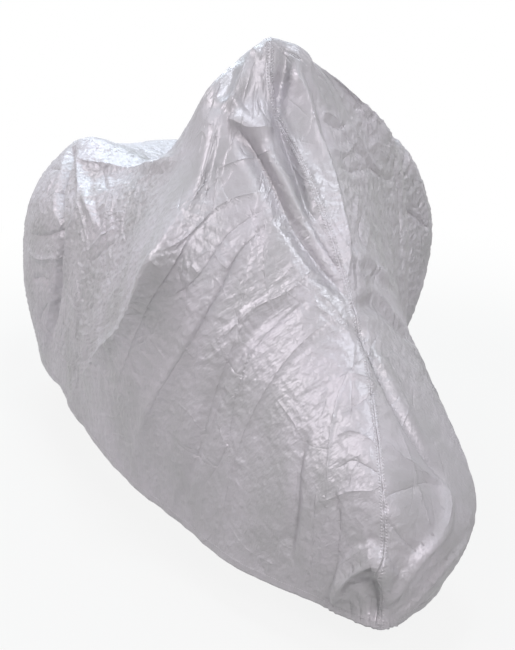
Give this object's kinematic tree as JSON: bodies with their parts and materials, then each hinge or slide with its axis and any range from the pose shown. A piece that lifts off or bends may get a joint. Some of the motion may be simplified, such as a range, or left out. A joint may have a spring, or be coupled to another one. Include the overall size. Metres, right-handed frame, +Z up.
{
  "type": "motorcycle cover",
  "caption": "Fitted silver cloth cover hung over a whole motorcycle, peaked at the screen, wide at the luggage and drawn in along its hem",
  "frame": {"origin": "middle of the cover in plan, at the level of the lowest point of its hem", "axes": "+X towards the machine's front wheel, +Y towards the machine's left, +Z up"},
  "size_m": [2.188, 1.0454, 1.1513],
  "materials": {
    "silver_cloth": "silver-coated polyester with a soft satin sheen"
  },
  "bodies": {
    "root": {"panel_right": "silver_cloth", "panel_left": "silver_cloth"}
  },
  "joints": []
}
